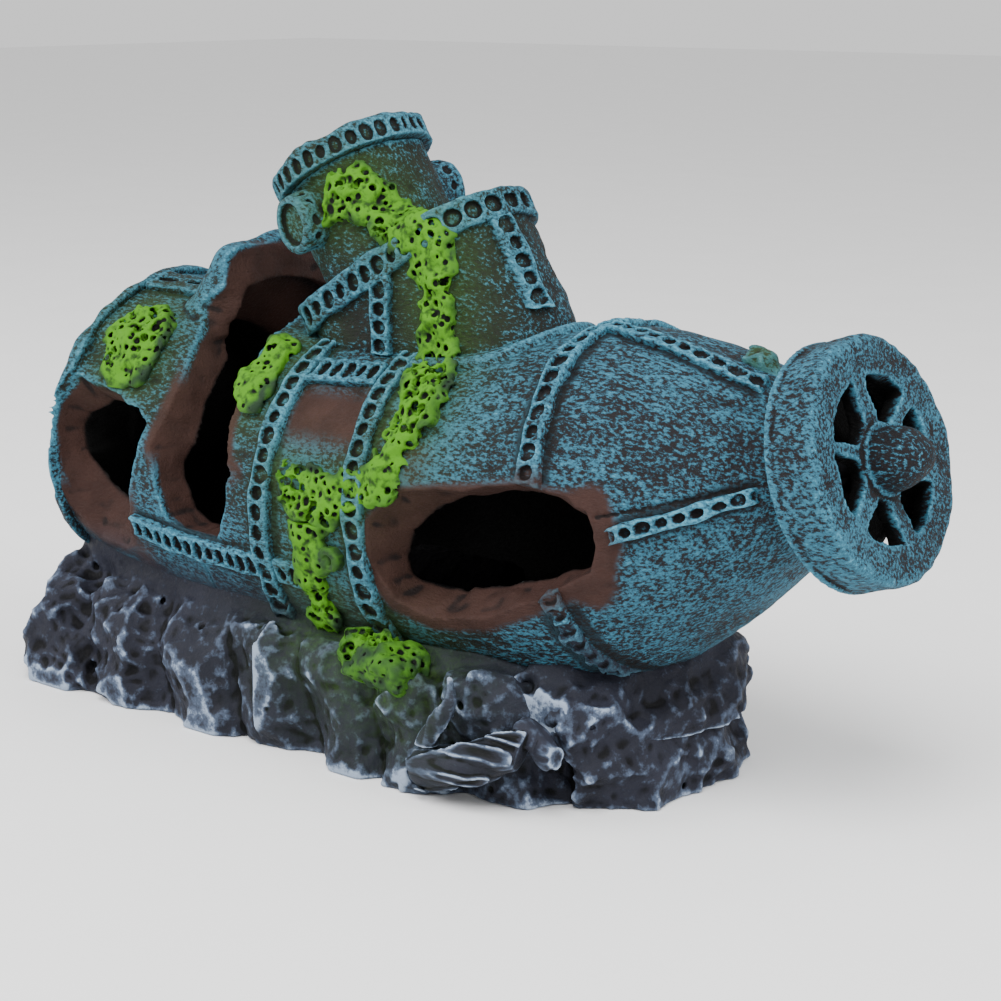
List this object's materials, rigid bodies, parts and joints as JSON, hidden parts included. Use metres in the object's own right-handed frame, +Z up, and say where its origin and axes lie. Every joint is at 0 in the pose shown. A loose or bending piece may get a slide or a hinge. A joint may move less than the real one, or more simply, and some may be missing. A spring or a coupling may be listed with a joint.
{
  "type": "bubbling ornament",
  "caption": "Sunken submarine wreck on a rock base for an aquarium, hollow, with torn openings, a raked conning tower, a spoked propeller wheel and an air stone inside that bubbles.",
  "frame": {"origin": "on the flat underside of the rock base, under the middle of the hull", "axes": "+X from the bow to the propeller, +Y away from the wrecked side, +Z up"},
  "size_m": [0.1863, 0.0669, 0.1074],
  "materials": {
    "hull_paint": "cast resin painted near-black brown, dry-brushed in teal blue, rust brown at the breaks",
    "band_paint": "cast resin straps with round dimples, dry-brushed bright teal blue with a dark wash",
    "rock": "stone-filled resin, dark slate with pale blue-white dry-brushed ridges",
    "driftwood": "cast resin wood grain, dark with pale grey dry-brushing",
    "moss": "pitted bright green",
    "dark_plastic": "black moulded",
    "air_line": "smoky flexible tube",
    "air_stone": "bonded blue grit"
  },
  "bodies": {
    "wreck": {"air_inlet": "air_line", "air_stone": "air_stone", "air_stone_cradle": "dark_plastic", "air_tube": "air_line", "air_tube_clip": "dark_plastic", "bolt_plate": "band_paint", "bow_deck_strap": "band_paint", "bow_hull_shell": "hull_paint", "bow_rim_band": "band_paint", "casemate": "hull_paint", "casemate_deck_band": "band_paint", "casemate_foot_flange": "band_paint", "casemate_side_strap": "band_paint", "casemate_stern_post": "band_paint", "driftwood_log": "driftwood", "driftwood_twig": "driftwood", "fore_band_port": "band_paint", "fore_band_starboard": "band_paint", "fore_turret": "hull_paint", "middle_band_port": "band_paint", "middle_band_starboard": "band_paint", "middle_hull_shell": "hull_paint", "moss_bow_patch": "moss", "moss_breach_patch": "moss", "moss_clump": "moss", "moss_drape": "moss", "moss_strip": "moss", "port_porthole": "band_paint", "rock_base": "rock", "shoulder_strap": "band_paint", "spine_strap": "band_paint", "starboard_porthole": "band_paint", "stern_band": "band_paint", "stern_boulder": "rock", "stern_bush": "dark_plastic", "stern_fin": "hull_paint", "stern_hull_cone": "hull_paint", "stern_side_strap": "band_paint", "turret_lid": "band_paint", "waterline_strap": "band_paint", "waterline_strap_aft": "band_paint"},
    "propeller": {"propeller_wheel": "hull_paint", "propeller_spinner": "band_paint", "propeller_shaft": "dark_plastic"}
  },
  "joints": [
    {"name": "propeller_spin", "type": "hinge", "parent": "wreck", "child": "propeller", "pos_m": [0.0746, 0, 0.0603], "axis": [0.9563, 0, 0.2924], "continuous": true}
  ]
}
